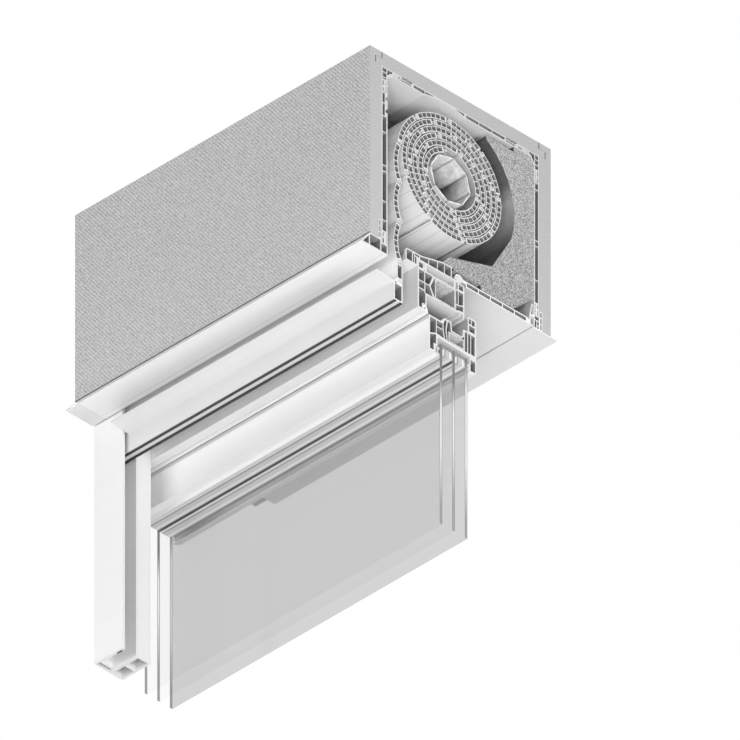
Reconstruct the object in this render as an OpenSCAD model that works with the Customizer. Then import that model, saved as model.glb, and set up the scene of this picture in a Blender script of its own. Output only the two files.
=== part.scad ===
// Built-in roller-shutter box on a window head: a straight sample, cut open at +X, capped at -X.
// X runs along the window, Y from the facade to the room, Z up. The origin is the middle of the top face.
// Sections are drawn as [depth, height]: depth from the facade's face, height from the box's top face.
// Window sections are drawn from the frame's outer face and the box's underside.

/* [Sample] */
// Length of the cut sample
sample_len = 470; // [390:5:700]
// Depth of the box, from the facade's face to the room
box_d = 288; // [272:1:350]
// Height of the box, from its top face to its underside
box_h = 258; // [256:1:330]
// Height of the glass below the box
glass_drop = 346; // [210:1:600]

/* [Walls] */
// Thickness of the plaster-base panels
shell_t = 18; // [15:0.5:24]
// Thickness of the front hollow profile
front_t = 9.6; // [8:0.2:12]
// Thickness of the top hollow profile
top_t = 7.6; // [6.4:0.2:9.6]
// Thickness of the rear hollow profile
rear_t = 8.4; // [7.2:0.2:10.4]
// Outer walls of the hollow profiles
skin = 1.8; // [1.5:0.1:2.2]
// Webs between the chambers
web = 1.2; // [0.9:0.1:1.6]
// Clearance between neighbouring pieces
fit = 0.3; // [0.2:0.05:0.4]

/* [Roller] */
// Octagon shaft, across its flats
shaft_af = 60; // [50:1:60]
// Wall of the shaft
shaft_wall = 1.5; // [1:0.1:2.5]
// Angle of the shaft's first corner above the horizontal
shaft_turn = 37; // [0:1:45]
// Height of the shaft's axis above the box's underside
axis_up = 136; // [134:0.5:140]
// Middle radius of the outermost turn of slats
roll_r = 81.5; // [81:0.5:82]
// Radial step from one turn of slats to the next
turn_step = 8.4; // [8.3:0.1:8.5]
// Number of slats on the roll
rolled_count = 34; // [18:1:34]
// Outer diameter of the drive motor's tube
motor_d = 45; // [35:1:46]
// Length of the drive motor's tube
motor_len = 300; // [220:5:340]

/* [Slats] */
// Cover of one slat, joint to joint
slat_pitch = 55; // [52:0.5:56]
// Thickness of a slat
slat_t = 7.4; // [6.2:0.1:7.6]
// Outward bow of a hanging slat
slat_bow = 6.5; // [4:0.5:7.5]
// Outer wall of a slat
slat_wall = 1.2; // [0.9:0.1:1.4]
// Chambers in one slat
slat_cells = 6; // [4:1:7]
// Distance of the hanging curtain's joint line behind the front profile
curtain_set = 19.6; // [18.6:0.1:23.6]

/* [Window] */
// Distance from the curtain's joint line to the frame's outer face
frame_set = 28.5; // [27.8:0.1:34.2]
// Thickness of each glass pane
pane_t = 4; // [3:0.5:4.5]
// Width of each space between panes
pane_gap = 16; // [12:0.5:16.5]
// Wall of the steel reinforcements
steel_t = 1.5; // [1:0.25:2.5]

/* [Guide rail] */
// Width of the guide rail along the window
rail_w = 45; // [36:1:60]
// Wall of the guide rail
rail_wall = 2.2; // [1.6:0.1:3]

/* [Hidden] */

x_far = -sample_len / 2;
x_near = sample_len / 2;
cap_depth = 20;
cap_plate = 3;
cap_rim = 2.5;
x_cap = x_far + cap_depth;
x_run = x_cap + fit;

// Depths of the three hollow walls
front_y0 = shell_t + fit;
front_y1 = front_y0 + front_t;
rear_y1 = box_d - shell_t - fit;
rear_y0 = rear_y1 - rear_t;
ceil_z1 = -shell_t - fit;
ceil_z0 = ceil_z1 - top_t;

// The curtain's joint line, and the shaft's axis where the roll meets that line at the topmost hanging joint
hang_y = front_y1 + curtain_set;
hang_count = 3;
hang_z0 = -box_h - 17;
hang_z1 = hang_z0 + hang_count * slat_pitch;
axis_z = -box_h + axis_up;
start_rise = hang_z1 - axis_z;
axis_y = hang_y + sqrt(roll_r * roll_r - start_rise * start_rise);
start_angle = 180 - asin(start_rise / roll_r);
slat_x0 = x_far + 13;
frame_y = hang_y + frame_set;
glass_z0 = -glass_drop;

// Corner pieces of the box
leg_len = 15;
front_corner_h = 19;
rear_corner_h = 22.7;
front_corner_w = 18.7;
rear_corner_w = 18.1;
nosing_h = 19;
nosing_out = 15;
nosing_top = -4.4;
latch_h = 17.6;
shell_leg_t = 4.2;
shell_leg_h = 26;
plaster_flange = 28;

// Frame and sash, from the frame's outer face and the box's underside
frame_d = 74.4;
claw_h = 10;
frame_low = -41.6;
frame_leg = -65;
sash_y0 = 17.6;
sash_y1 = 93;
sash_top = -66.3;
sash_low = -114;
pane_y = 35.1;
unit_top = -98;
cover_y = 66;
cover_z = 5;
cover_t = 8;
hook_r = 4.5;
hook_t = 2;

// Inspection cover's far edge and the hinge of the sash
cover_y1 = rear_y0 - 1.8 - frame_y;
hinge_x = x_far + 6.5;
hinge_y = frame_y + sash_y1 + 6;
hinge_r = 6;
pin_r = 3;
knuckle_top = -39.2;

function rect(x0, x1, y0, y1) = [[x0, y0], [x1, y0], [x1, y1], [x0, y1]];
function arc(c, r, a0, a1, n) =
    [for (i = [0 : n]) c + r * [cos(a0 + (a1 - a0) * i / n), sin(a0 + (a1 - a0) * i / n)]];
function shift(pts, d) = [for (p = pts) p + d];
function turned(pts, o, sx, sy) = [for (p = pts) [o[0] + sx * p[0], o[1] + sy * p[1]]];
function cells_turned(cells, o, sx, sy) = [for (c = cells) turned(c, o, sx, sy)];
function ladder(y0, y1, stops) =
    [for (i = [0 : len(stops) - 2]) rect(y0 + skin, y1 - skin, stops[i + 1] + web / 2, stops[i] - web / 2)];

// A flat section: an outline, with chambers cut out of it
module section(outline, cells = []) {
    starts = [for (i = 0, s = len(outline); i < len(cells); s = s + len(cells[i]), i = i + 1) s];
    polygon(
        concat(outline, [for (c = cells) each c]),
        concat([[for (i = [0 : len(outline) - 1]) i]],
            [for (k = [0 : 1 : len(cells) - 1]) [for (j = [0 : len(cells[k]) - 1]) starts[k] + j]]));
}

// Draws a section along the window from x0 to x1
module run(x0, x1) {
    translate([x0, -box_d / 2, 0])
        rotate([90, 0, 90])
            linear_extrude(x1 - x0)
                children();
}

// The same for a section drawn from the frame's outer face and the box's underside
module window_run(x0, x1) {
    run(x0, x1)
        translate([frame_y, -box_h])
            children();
}

// A cylinder along X, at a depth and a height
module x_rod(y, z, r, x0, x1, sides = 24) {
    translate([x0, y - box_d / 2, z])
        rotate([0, 90, 0])
            cylinder(r = r, h = x1 - x0, $fn = sides);
}

// A springy leg that snaps into the open end of a hollow profile, pointing up from the origin: three barbs on
// one side, and on the other one rib and a free channel
function barb(x, tip, len, z) = [[x, (z + 0.2) * len], [tip, z * len], [x, z * len]];
function springy_leg(w, len) =
    let (plain = -0.16 * w, core = 0.3 * w)
    concat(
        [[plain, 0], [plain, 0.42 * len], [-w / 2, 0.52 * len], [-w / 2, 0.58 * len], [plain, 0.64 * len],
        [plain, 0.9 * len], [plain + 0.6, len], [core - 0.4, len]],
        barb(core, w / 2, len, 0.68), barb(core, w / 2, len, 0.4), barb(core, w / 2, len, 0.12),
        [[core, 0]]);
function flipped(pts) = [for (i = [len(pts) - 1 : -1 : 0]) [-pts[i][0], pts[i][1]]];

/* Plaster-base panels */

half_t = shell_t / 2;
seam = fit / 2;

function side_panel(slot) = [
    [0, 0], [shell_t + 1 - seam, 0], [shell_t + 1 - seam, -half_t + seam], [half_t - seam, -half_t + seam],
    [half_t - seam, -shell_t - seam], [shell_t, -shell_t - seam], [shell_t, slot],
    [shell_t - shell_leg_t - fit, slot], [shell_t - shell_leg_t - fit, -box_h], [0, -box_h]];

module front_shell() {
    color("#b9b9b9")
        run(x_far, x_near)
            section(side_panel(-box_h + shell_leg_h + fit));
}

module top_shell() {
    lap = shell_t + 1 + seam;
    tongue = half_t + seam;
    color("#c6c6c6")
        run(x_far, x_near)
            section([
                [lap, 0], [box_d - lap, 0], [box_d - lap, -half_t - seam], [box_d - tongue, -half_t - seam],
                [box_d - tongue, -shell_t], [tongue, -shell_t], [tongue, -half_t - seam],
                [lap, -half_t - seam]]);
}

module rear_shell() {
    color("#c6c6c6")
        run(x_far, x_near)
            section(turned(side_panel(-box_h + shell_leg_h + fit), [box_d, 0], -1, 1));
}

/* Hollow walls of the box */

// A hollow wall between two depths, open at both ends to take a springy leg
function open_wall(y0, y1, z0, z1) = [
    [y0, z1], [y0 + skin, z1], [y0 + skin, z1 - leg_len - fit], [y1 - skin, z1 - leg_len - fit],
    [y1 - skin, z1], [y1, z1], [y1, z0], [y1 - skin, z0], [y1 - skin, z0 + leg_len + fit],
    [y0 + skin, z0 + leg_len + fit], [y0 + skin, z0], [y0, z0]];

module front_wall_profile() {
    z1 = ceil_z1 - front_corner_h - fit;
    z0 = -box_h + nosing_top + fit;
    groove_w = 5.6;
    groove_d = 3.2;
    grooves = [z1 - 23, z1 - 40];
    top = z1 - leg_len - fit - skin + web / 2;
    low = z0 + leg_len + fit + skin - web / 2;
    narrow = front_y1 - groove_d - web + skin;
    mid = z1 - 49;
    color("#f2f2f2")
        run(x_run, x_near)
            difference() {
                section(open_wall(front_y0, front_y1, z0, z1),
                    concat(
                        ladder(front_y0, narrow, [top, z1 - 31, mid]),
                        ladder(front_y0, front_y1,
                            [mid, z1 - 71, z1 - 117, z1 - 125, (z1 - 125 + low) / 2, low + 15, low])));
                for (g = grooves)
                    section(rect(front_y1 - groove_d, front_y1 + 1, g - groove_w / 2, g + groove_w / 2));
            }
}

module rear_wall_profile() {
    z1 = ceil_z1 - rear_corner_h - fit;
    z0 = -box_h + latch_h + fit;
    top = z1 - leg_len - fit - skin + web / 2;
    low = z0 + leg_len + fit + skin - web / 2;
    color("#f2f2f2")
        run(x_run, x_near)
            section(open_wall(rear_y0, rear_y1, z0, z1),
                ladder(rear_y0, rear_y1,
                    [top, z1 - 26, (z1 - 26) * 0.55 + low * 0.45, (z1 - 26) * 0.5 + low * 0.5,
                    (z1 - 26) * 0.2 + low * 0.8, low]));
}

module top_wall_profile() {
    y0 = front_y0 + front_corner_w + fit;
    y1 = rear_y1 - rear_corner_w - fit;
    arch_w = 66;
    arch_h = 4.6;
    arch_r = (arch_w * arch_w / 4 + arch_h * arch_h) / (2 * arch_h);
    arch_a = asin(arch_w / 2 / arch_r);
    arch_y = axis_y - 9;
    slot_w = 18;
    slot_d = 3.4;
    slot_1 = y0 + 13;
    slot_2 = y1 - 35;
    z_in = ceil_z0 + skin;
    z_up = ceil_z1 - skin;
    z_under = ceil_z1 - slot_d - web;
    arch_0 = arch_y - arch_w / 2;
    arch_1 = arch_y + arch_w / 2;
    rest = slot_2 - 2 - arch_1;
    wedge_r = arch_r + skin;
    wedge_0 = arch_w / 2 - 2;
    wedge_1 = arch_w / 2 - 15;
    wedge = concat(
        arc([0, ceil_z0 - arch_r + arch_h], wedge_r, acos(-wedge_0 / wedge_r), acos(-wedge_1 / wedge_r), 4),
        [[-wedge_1, z_up], [-wedge_0, z_up]]);
    color("#f2f2f2")
        run(x_run, x_near)
            section(
                concat(
                    [[y0, ceil_z1], [slot_1, ceil_z1], [slot_1, ceil_z1 - slot_d],
                    [slot_1 + slot_w - 3, ceil_z1 - slot_d], [slot_1 + slot_w, ceil_z1],
                    [slot_2, ceil_z1], [slot_2, ceil_z1 - slot_d],
                    [slot_2 + slot_w - 3, ceil_z1 - slot_d], [slot_2 + slot_w, ceil_z1],
                    [y1, ceil_z1], [y1, ceil_z1 - skin], [y1 - leg_len - fit, ceil_z1 - skin],
                    [y1 - leg_len - fit, z_in], [y1, z_in], [y1, ceil_z0]],
                    arc([arch_y, ceil_z0 - arch_r + arch_h], arch_r, 90 - arch_a, 90 + arch_a, 12),
                    [[y0, ceil_z0], [y0, z_in], [y0 + 10, z_in], [y0 + 10, z_up], [y0, z_up]]),
                concat(
                    [rect(y0 + 11.2, slot_1 + slot_w - 3, z_in - 0.4, z_under),
                    rect(slot_1 + slot_w + web, arch_0 + 2 - web, z_in, z_up)],
                    [for (side = [1, -1]) [for (p = wedge) [arch_y + side * p[0], p[1]]]],
                    [for (i = [0 : 2])
                        rect(arch_1 + rest * i / 3 + web, arch_1 + rest * (i + 1) / 3, z_in, z_up)],
                    [rect(slot_2 + 0.4, slot_2 + slot_w - 3.4, z_in - 0.4, z_under)]));
}

// A top corner piece, drawn from its outer corner inwards and up: a chambered elbow with two springy legs
function corner_outline(w, h, wall) = concat(
    [[0, 0], [0, h]],
    shift(springy_leg(wall - 2 * skin - fit, leg_len), [wall / 2, h]),
    [[wall, h], [wall, h - 6], [w - 4, top_t], [w, top_t]],
    [for (p = springy_leg(top_t - 2 * skin - fit, 9)) [w + p[1], top_t / 2 - p[0]]],
    [[w, 0]]);
function corner_cells(w, h, wall) = [
    rect(skin, wall - skin, skin, 7),
    rect(skin, wall - skin, 8.2, 14),
    rect(skin, wall - skin, 15.2, h - skin),
    [[wall - 0.4, skin], [w - skin, skin], [w - skin, 4.6], [w - 5, 5.4], [wall - 0.4, h - 9]]];

module corner_profile_front_top() {
    o = [front_y0, ceil_z1];
    color("#f2f2f2")
        run(x_run, x_near)
            section(turned(corner_outline(front_corner_w, front_corner_h, front_t), o, 1, -1),
                cells_turned(corner_cells(front_corner_w, front_corner_h, front_t), o, 1, -1));
}

module corner_profile_rear_top() {
    o = [rear_y1, ceil_z1];
    color("#f2f2f2")
        run(x_run, x_near)
            section(turned(corner_outline(rear_corner_w, rear_corner_h, rear_t), o, -1, -1),
                cells_turned(corner_cells(rear_corner_w, rear_corner_h, rear_t), o, -1, -1));
}

// Bottom rear corner: latch fin, leg in the panel's slot and the plaster flange
module corner_profile_rear_bottom() {
    y0 = rear_y0;
    y1 = rear_y1;
    leg_y = y1 + 0.6;
    fin_y = y0 - 7;
    mid = (y0 + y1) / 2;
    color("#efefef")
        run(x_run, x_near)
            translate([0, -box_h])
                section(
                    concat(
                        [[y0 - 1.5, -2], [box_d + plaster_flange - shell_t, -2],
                        [box_d + plaster_flange - shell_t, -fit], [leg_y + shell_leg_t, -fit],
                        [leg_y + shell_leg_t, shell_leg_h], [leg_y, shell_leg_h], [leg_y, latch_h]],
                        [for (p = springy_leg(rear_t - 2 * skin - fit, leg_len))
                            [mid - p[0], latch_h + p[1]]],
                        [[y0 - 0.9, latch_h], [y0 - 0.9, latch_h + 12], [y0 - 4, latch_h + 12],
                        [fin_y, latch_h - 3.6], [fin_y, latch_h - 5.4], [y0 - 0.4, latch_h - 5.4],
                        [y0 - 0.4, -fit], [y0 - 1.5, -fit]]),
                    [rect(y0 + 1.1, y1 - 0.8, 11.2, latch_h - 1.4),
                    rect(y0 + 1.1, mid - 0.4, 0.2, 10),
                    rect(mid + 0.8, y1 - 0.8, 4.6, 10),
                    rect(mid + 0.8, y1 - 0.8, 0.2, 3.4),
                    rect(leg_y + 1.2, leg_y + shell_leg_t - 1.2, 1, 7.6),
                    rect(leg_y + 1.2, leg_y + shell_leg_t - 1.2, 8.8, 16.4),
                    rect(leg_y + 1.2, leg_y + shell_leg_t - 1.2, 17.6, shell_leg_h - 1.4),
                    [[fin_y + 2.6, latch_h - 2.4], [y0 - 3.2, latch_h + 10.6], [y0 - 2.2, latch_h + 10.6],
                    [y0 - 2.2, latch_h - 2.4]]]);
}

// Plaster nosing along the facade's lower edge
module plaster_nosing() {
    mid = (front_y0 + front_y1) / 2;
    low = -nosing_h;
    leg_y = shell_t - shell_leg_t;
    color("#f4f4f4")
        run(x_run, x_near)
            translate([0, -box_h])
                section(
                    concat(
                        [[-nosing_out, low], [front_y1 + fit, low], [front_y1 + fit, nosing_top]],
                        [for (p = flipped(springy_leg(front_t - 2 * skin - fit, leg_len)))
                            [mid - p[0], nosing_top + p[1]]],
                        [[front_y0, nosing_top], [shell_t - fit, -fit], [shell_t - fit, shell_leg_h],
                        [leg_y, shell_leg_h], [leg_y, -fit], [0, -fit]]),
                    [[[-1.8, -5.2], [-1.8, low + 2], [-nosing_out + 4.1, low + 2]],
                    [[0, -fit - 2], [shell_t - 1.6, -fit - 2], [shell_t - 1.6, low + 2], [0, low + 2]],
                    rect(shell_t + 0.2, front_y1 - 1.2, low + 2, nosing_top - 2),
                    rect(leg_y + 1.2, shell_t - fit - 1.2, 1, 7.6),
                    rect(leg_y + 1.2, shell_t - fit - 1.2, 8.8, 16.4),
                    rect(leg_y + 1.2, shell_t - fit - 1.2, 17.6, shell_leg_h - 1.4)]);
}

// Foam block behind the roll, hollowed round it
module insulation_block() {
    foam_gap = 17;
    r = roll_r + slat_t / 2 + foam_gap;
    a0 = 56;
    a1 = -21;
    low = -box_h + cover_t + 2 * fit;
    ceiling = ceil_z0 - fit;
    back = rear_y0 - fit;
    adapter_top = -box_h + 16.5 + fit;
    hook_y = frame_y + 57.5;
    color("#a9acb0")
        run(x_run, x_near)
            section(concat(
                arc([axis_y, axis_z], r, a0, a1, 14),
                [[axis_y + 66.5, -box_h + 49.6], [axis_y + 26.5, -box_h + 37.2], [axis_y - 1, -box_h + 29],
                [axis_y - 12, adapter_top], [hook_y, adapter_top], [hook_y, adapter_top - 2],
                [hook_y + 43, adapter_top - 2], [hook_y + 43, low], [back - 33, low], [back, low + 29],
                [back, ceil_z1 - rear_corner_h + 5], [rear_y1 - rear_corner_w, ceiling],
                [back - 32, ceiling], [back - 32, ceiling - 6.8], [back - 76, ceiling - 6.8]]));
}

/* Window frame and what joins it to the box */

foot_y = 10.4;
screw_xs = [x_far + 85, 0, x_near - 85];
screw_y = frame_y + 37;

module base_adapter() {
    nose = -19.4;
    top = 16.5;
    end = 54.4;
    floor_z = fit;
    color("#f2f2f2")
        difference() {
            window_run(x_run, x_near)
                section(
                    concat(
                        [[nose, -9], [nose, 5], [nose + 2.8, 7.8], [6.8, 8.2], [20.6, 11.7], [41.3, top],
                        [end, top], [end, floor_z + skin], [cover_y - 3.9, floor_z + skin]],
                        arc([cover_y, cover_z], hook_r, 210, -60, 12),
                        [[cover_y - 2, floor_z], [60.8, floor_z], [60.8, -claw_h + 1], [59.4, -claw_h + fit],
                        [57.6, -claw_h + fit], [57.6, floor_z], [14.4, floor_z], [14.4, -claw_h + fit],
                        [12.4, -claw_h + fit], [foot_y, -claw_h + 2], [foot_y, floor_z],
                        [-fit, floor_z], [-fit, -9]]),
                    [[[nose + skin, -7.2], [nose + skin, 4.2], [nose + 3.4, 6.2], [-9, 6.3], [-9, -7.2]],
                    rect(-7.6, -5.6, -7.2, 5.2),
                    rect(-4.4, -2, -7.2, 2.4),
                    rect(-4.4, 2.6, 3.6, 6.4),
                    [[4, 2], [4, 6.6], [6.6, 6.6], [17, 9.2], [17, 2]],
                    [[18.2, 2], [18.2, 9.4], [30.8, 12.4], [30.8, 2]],
                    [[32, 2], [32, 12.7], [41.6, 14.9], [42, 14.9], [42, 2]],
                    rect(43.2, end - 1.6, 2, top - 1.6)]);
            for (x = screw_xs)
                translate([x, screw_y - box_d / 2, -box_h - 2])
                    cylinder(r = 2.6, h = 6, $fn = 14);
        }
}

// Soft lip in front of the adapter's nose, lying against the curtain
module lip_seal() {
    nose = -19.4 - fit;
    color("#6b6b6b")
        window_run(x_far + rail_w + 1, x_near)
            section([[nose, -1], [nose, 2.4], [nose - 1.2, 2.8], [-23.4, -7.6], [-22.4, -8.4],
                [nose - 1, -1.6]]);
}

module frame_head() {
    in = 2.2;
    color("#f2f2f2")
        difference() {
            window_run(x_far, x_near)
                section(
                    [[0, 0], [9.8, 0], [9.8, -claw_h], [64, -claw_h], [64, 0], [frame_d, 0], [frame_d, -45],
                    [frame_d - 1, -47], [frame_d - in, -46], [frame_d - in, -39.5], [68.4, -39.5],
                    [68.4, -44.4], [67.3, -45.8], [66.2, -44.4], [66.2, -39.4], [62, frame_low],
                    [14.2, frame_low], [14.2, -57.5], [8.6, -57.5], [8.6, frame_leg], [0, frame_leg]],
                    [rect(in, 8.2, -claw_h + 1.6, -1.8),
                    rect(65.6, frame_d - in, -claw_h + 1.6, -1.8),
                    rect(in, 10.4, -25.8, -11.8),
                    rect(in, 10.8, -36.4, -27.2),
                    [[11.8, -25.8], [11.8, -11.8], [23.8, -11.8], [18.4, -25.8]],
                    [[12.2, -39.6], [12.2, -27.2], [18.4, -27.2], [24.4, -39.8]],
                    [[27.4, -11.8], [60, -11.8], [60, -39.8], [27.4, -39.8], [20.6, -26.5]],
                    rect(61.2, 64, -30.4, -11.8),
                    [[65.2, -30.2], [65.2, -11.8], [frame_d - in, -11.8], [frame_d - in, -27.8]],
                    [[61.2, -39.4], [61.2, -32], [65.4, -31.6], [frame_d - in, -29.4], [frame_d - in, -37.2],
                    [66, -37.2]],
                    [[in, -62.8], [in, -37.8], [11, -38.2], [11, -40.6], [12.2, -41], [12.2, -55.6],
                    [7, -55.8], [6.6, -62.8]]]);
            for (x = screw_xs)
                translate([x, screw_y - box_d / 2, -box_h - claw_h - 3])
                    cylinder(r = 2.3, h = 5, $fn = 14);
        }
}

// Rectangular steel tube, with an allowance for its chamber
module steel_tube(y0, y1, z0, z1) {
    section(rect(y0, y1, z0, z1), [rect(y0 + steel_t, y1 - steel_t, z0 + steel_t, z1 - steel_t)]);
}

module frame_reinforcement() {
    color("#a8adb0")
        difference() {
            window_run(x_far + 10, x_near)
                steel_tube(27.4 + fit, 60 - fit, -39.8 + fit, -11.8 - fit);
            for (x = screw_xs)
                translate([x, screw_y - box_d / 2, -box_h - 15])
                    cylinder(r = 2.3, h = 5, $fn = 14);
        }
}

module frame_gasket() {
    color("#9a9a9a")
        window_run(x_far, x_near)
            section([
                [8.6 + fit, -57.5 - fit], [13.8, -57.5 - fit], [15, -59.6], [16.6, -65.6], [15.8, -67.4],
                [14.6, -66], [13.6, -62.6], [12.4, -64.6], [8.6 + fit, -64.6]],
                [[[10.2, -63.2], [10.2, -59.4], [12.8, -59.4], [13, -60.4], [11.8, -63.2]]]);
}

module adapter_screws() {
    color("#c0c0c0")
        for (x = screw_xs)
            translate([x, screw_y - box_d / 2, -box_h - 32])
                union() {
                    cylinder(r = 2, h = 32 + fit + skin, $fn = 14);
                    translate([0, 0, 32 + fit + skin])
                        cylinder(r = 4.4, h = 2.6, $fn = 14);
                }
}

/* Far end of the box */

mount_dy = 175;
mount_dz = 150;
mount_y = box_d / 2;
mount_z = -box_h / 2 - 9;
mount_r = 3.25;
cap_screws = [
    [front_y0 + front_t / 2, ceil_z1 - 4.4],
    [rear_y1 - rear_t / 2, ceil_z1 - 4.4],
    [rear_y0 + rear_t / 2, -box_h + 13.8],
    [frame_y + 48, -box_h + 8.5]];

function cap_outline(d, step) = [
    [front_y0 + d, ceil_z1 - d], [rear_y1 - d, ceil_z1 - d], [rear_y1 - d, -box_h + fit + d],
    [front_y1 + fit - d + step, -box_h + fit + d], [front_y1 + fit - d + step, -box_h - nosing_h + d],
    [-nosing_out + 1.9 * d, -box_h - nosing_h + d], [0.5 * d, -box_h - fit - d],
    [front_y0 + d, -box_h - fit - d]];

module end_cap() {
    slot_0 = front_y1 + 6;
    slot_1 = frame_y - 20.4;
    color("#e4e4e4")
        difference() {
            union() {
                difference() {
                    run(x_far, x_cap)
                        section(cap_outline(0, 0));
                    run(x_far + cap_plate, x_cap + 1)
                        section(cap_outline(cap_rim, 0));
                }
                for (s = cap_screws)
                    x_rod(s[0], s[1], 4.1, x_far + 1, x_cap, 14);
                run(x_far + cap_plate - 1, x_cap - 8)
                    for (y = [front_y1 + 8, rear_y0 - 22])
                        section(rect(y, y + cap_rim, -box_h + 40, -box_h / 2));
            }
            for (s = cap_screws) {
                x_rod(s[0], s[1], 1.9, x_far - 1, x_cap + 1, 14);
                x_rod(s[0], s[1], 3.8, x_far - 1, x_far + 2.4, 14);
            }
            for (y = [-1, 1], z = [-1, 1])
                x_rod(mount_y + y * mount_dy / 2, mount_z + z * mount_dz / 2, mount_r,
                    x_far - 1, x_cap + 1, 20);
            run(x_far + cap_plate, x_cap + 1)
                section(rect(slot_0, slot_1, -box_h - 1, -box_h + 8));
            for (y = [-9, 9])
                x_rod(axis_y + y, axis_z - 22, 2.6, x_far - 1, x_far + 8, 14);
        }
}

module end_cap_screws() {
    color("#bdbdbd")
        for (s = cap_screws) {
            x_rod(s[0], s[1], 1.6, x_far + 2, x_cap + 9, 14);
            x_rod(s[0], s[1], 3.5, x_far + 0.2, x_far + 2.4, 14);
        }
}

head_x0 = x_far + cap_plate + fit;
head_x1 = head_x0 + 8;

module motor_bracket() {
    color("#8d9195")
        difference() {
            x_rod(axis_y, axis_z, 31, head_x0, head_x1, 32);
            x_rod(axis_y, axis_z, 12, head_x0 - 1, head_x1 + 1);
            for (y = [-9, 9])
                x_rod(axis_y + y, axis_z - 22, 2.6, head_x0 - 1, head_x1 + 1, 14);
        }
}

// Tube motor: head on the bracket, tube, and the output stub that turns the drive wheel
module motor() {
    tube_x0 = head_x1 + fit + 5;
    color("#d9d9d9")
        union() {
            x_rod(axis_y, axis_z, 11.7, head_x0, head_x1 + 1);
            x_rod(axis_y, axis_z, 26, head_x1 + fit, tube_x0);
            x_rod(axis_y, axis_z, motor_d / 2, tube_x0 - 1, tube_x0 + motor_len);
            x_rod(axis_y, axis_z, 6, tube_x0 + motor_len - 1, tube_x0 + motor_len + 16);
        }
}

rail_y0 = hang_y - 17;
rail_y1 = hang_y + 7.8;
rail_z1 = -box_h - 1;
rail_z0 = glass_z0 - box_h;

// Upright profile: a section drawn from the far end inwards and in depth
module upright(z0, z1) {
    translate([x_far, -box_d / 2, z0])
        linear_extrude(z1 - z0)
            children();
}

module guide_rail() {
    slot_0 = hang_y - 13;
    slot_1 = hang_y + 5;
    w = rail_wall;
    hook = 4;
    color("#eeeeee")
        upright(rail_z0, rail_z1)
            section(
                [[0, rail_y0], [rail_w, rail_y0], [rail_w, slot_0], [rail_w - hook, slot_0],
                [rail_w - hook, slot_0 - 1.6], [rail_w - hook - 8, slot_0 - 1.6], [rail_w - hook - 8, slot_0],
                [9, slot_0], [9, slot_1], [rail_w, slot_1], [rail_w, rail_y1], [0, rail_y1]],
                [rect(w, 9 - w, rail_y0 + w, rail_y1 - w)]);
}

module rail_brushes() {
    slot_0 = hang_y - 13;
    color("#3a3a3a")
        upright(rail_z0, rail_z1)
            section(rect(rail_w - 11.7, rail_w - 4.3, slot_0 - 1.5, slot_0 + 0.6));
}

module rail_spacer() {
    w = rail_wall;
    color("#eeeeee")
        upright(rail_z0, -box_h - 9 - fit)
            section(rect(0, rail_w, rail_y1 + fit, frame_y - fit),
                [rect(w, rail_w / 2 - w / 2, rail_y1 + fit + w, frame_y - fit - w),
                rect(rail_w / 2 + w / 2, rail_w - w, rail_y1 + fit + w, frame_y - fit - w)]);
}

/* Roller: shaft, its two rings and the slats wound on it */

shaft_x0 = head_x1 + fit + 6;
crown_len = 14;
wheel_x0 = head_x1 + fit + 5 + motor_len + 1;
wheel_len = 13;

module octagon_2d(af) {
    rotate(shaft_turn)
        circle(r = af / 2 / cos(22.5), $fn = 8);
}

// Draws a section round the shaft's axis, along the window
module on_axis(x0, x1) {
    run(x0, x1)
        translate([axis_y, axis_z])
            children();
}

module octagon_shaft() {
    color("#cfcfcf")
        on_axis(shaft_x0, x_near)
            difference() {
                octagon_2d(shaft_af);
                octagon_2d(shaft_af - 2 * shaft_wall);
            }
}

module shaft_crown() {
    color("#444444")
        difference() {
            on_axis(shaft_x0 + fit, shaft_x0 + crown_len)
                octagon_2d(shaft_af - 2 * shaft_wall - 2 * fit);
            x_rod(axis_y, axis_z, motor_d / 2 + fit, shaft_x0 - 1, shaft_x0 + crown_len + 1);
        }
}

module drive_wheel() {
    color("#444444")
        difference() {
            on_axis(wheel_x0, wheel_x0 + wheel_len)
                octagon_2d(shaft_af - 2 * shaft_wall - 2 * fit);
            x_rod(axis_y, axis_z, 6 + fit, wheel_x0 - 1, wheel_x0 + wheel_len + 1);
        }
}

bulb_r = 1.7;
socket_r = 2.2;
stem_t = 1;
end_gap = 0.5;
// The socket's mouth, on either side of the slat's own line
socket_up = 74;
socket_down = 25;

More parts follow.
